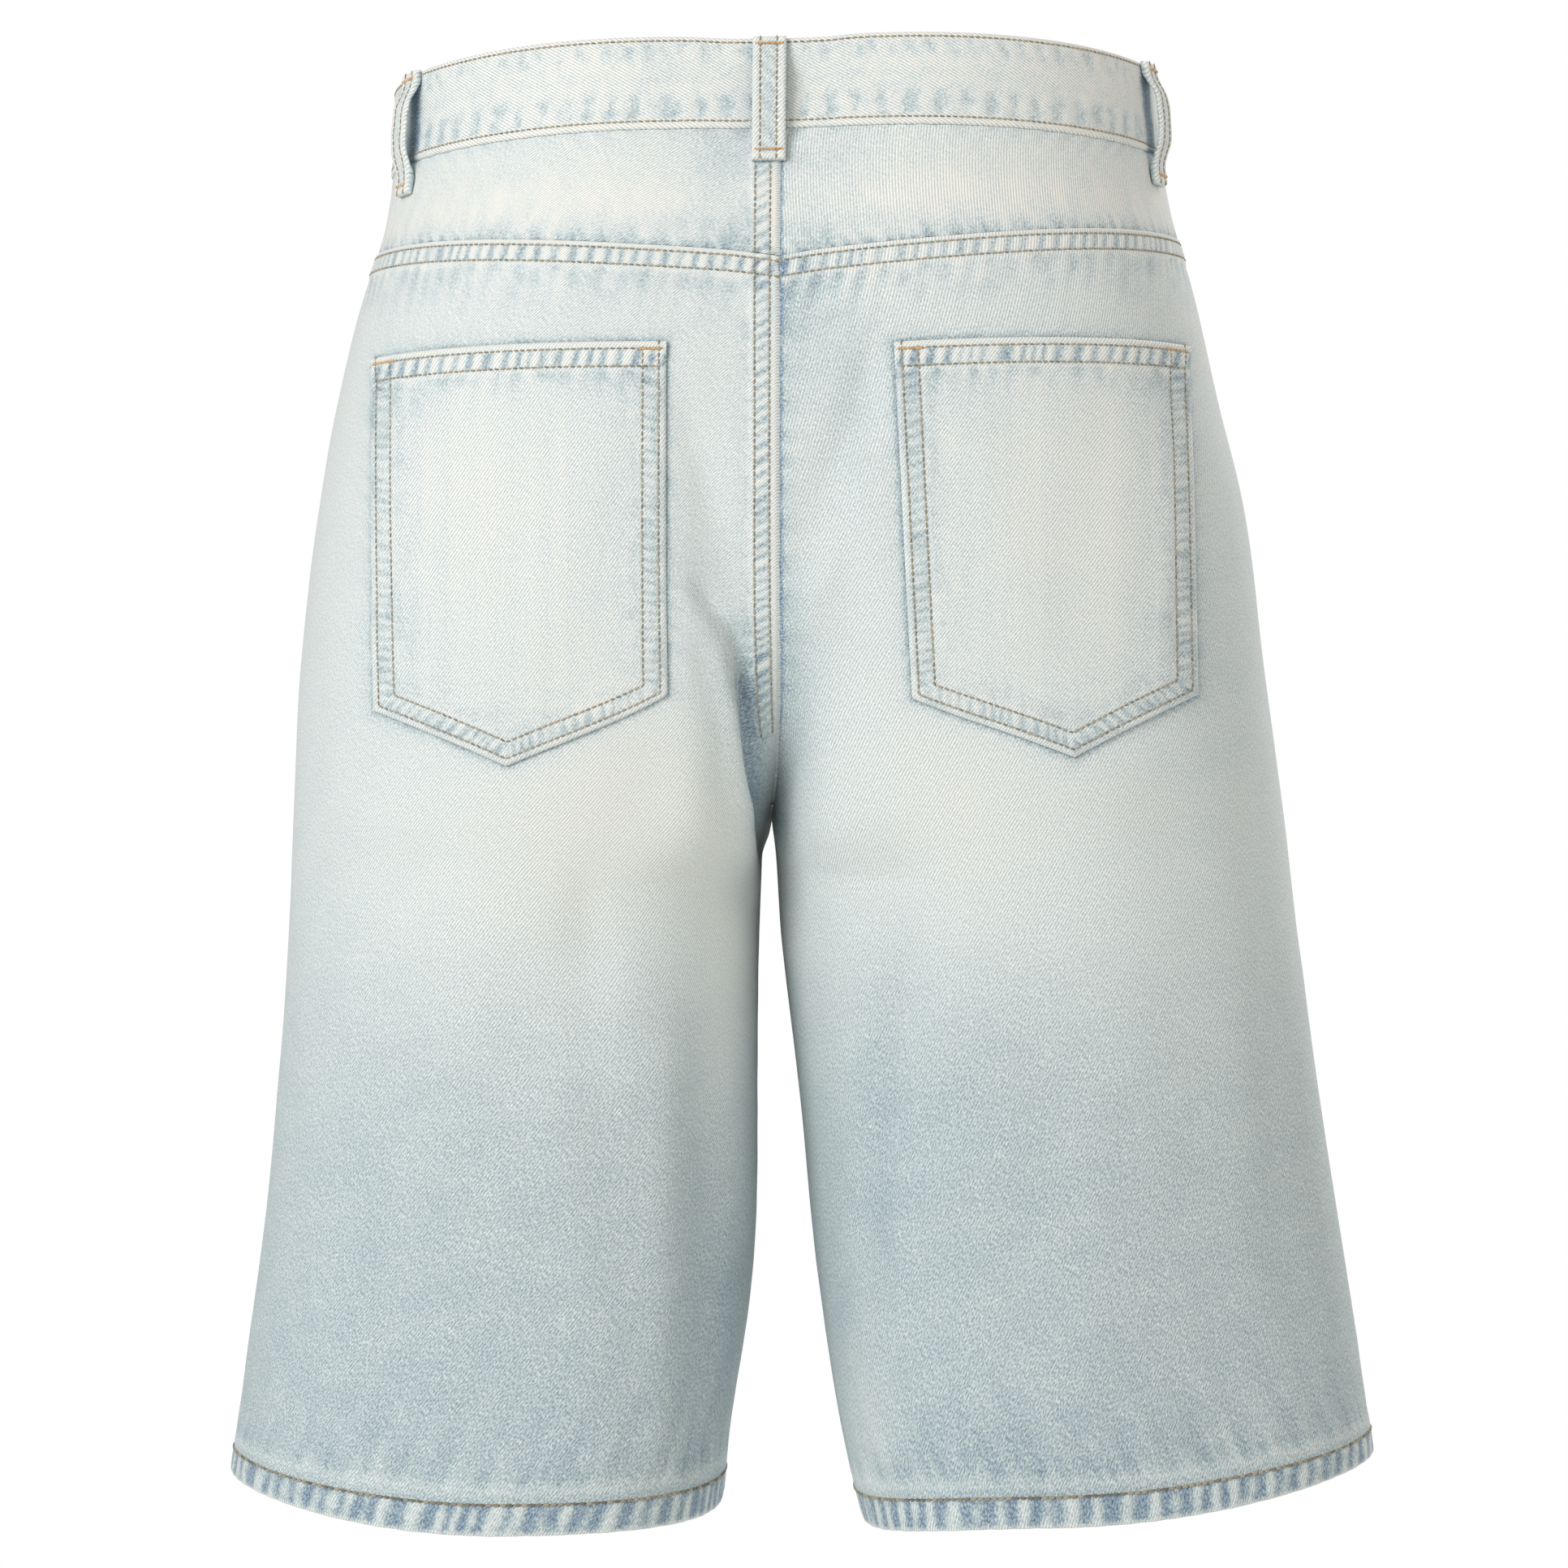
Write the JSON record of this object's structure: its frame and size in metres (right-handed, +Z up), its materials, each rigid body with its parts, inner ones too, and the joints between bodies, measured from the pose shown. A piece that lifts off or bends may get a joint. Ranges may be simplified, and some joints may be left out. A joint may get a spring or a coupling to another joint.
{
  "type": "denim shorts",
  "caption": "Loose knee-length denim shorts held open as when worn, with waistband, belt loops, back yoke, patch pockets and a zip fly.",
  "frame": {"origin": "middle of the waist opening, halfway up the waistband at the side seams, where the wearer's waist holds the garment", "axes": "+Z up the body, +X to the wearer's left, -Y the front of the garment, +Y its back"},
  "size_m": [0.4976, 0.2827, 0.6305],
  "materials": {
    "denim": "light stone-washed cotton twill",
    "denim_edges": "washed cotton twill, bluer between the stitch rows",
    "zip_tape": "woven tape",
    "metal": "aged nickel"
  },
  "bodies": {
    "root": {"waistband": "denim", "yoke_left": "denim", "yoke_right": "denim", "back_left": "denim", "back_right": "denim", "front_left": "denim", "front_right": "denim", "pocket_bearer_left": "denim", "pocket_bearer_right": "denim", "back_pocket_left": "denim", "back_pocket_right": "denim", "hem_left": "denim_edges", "hem_right": "denim_edges", "belt_loop_back": "denim_edges", "belt_loop_side_left": "denim_edges", "belt_loop_side_right": "denim_edges", "belt_loop_front_left": "denim_edges", "belt_loop_front_right": "denim_edges", "fly_facing": "denim", "fly_shield": "denim", "zip_tape": "zip_tape", "zip_slider": "metal", "waist_button": "metal"}
  },
  "joints": []
}
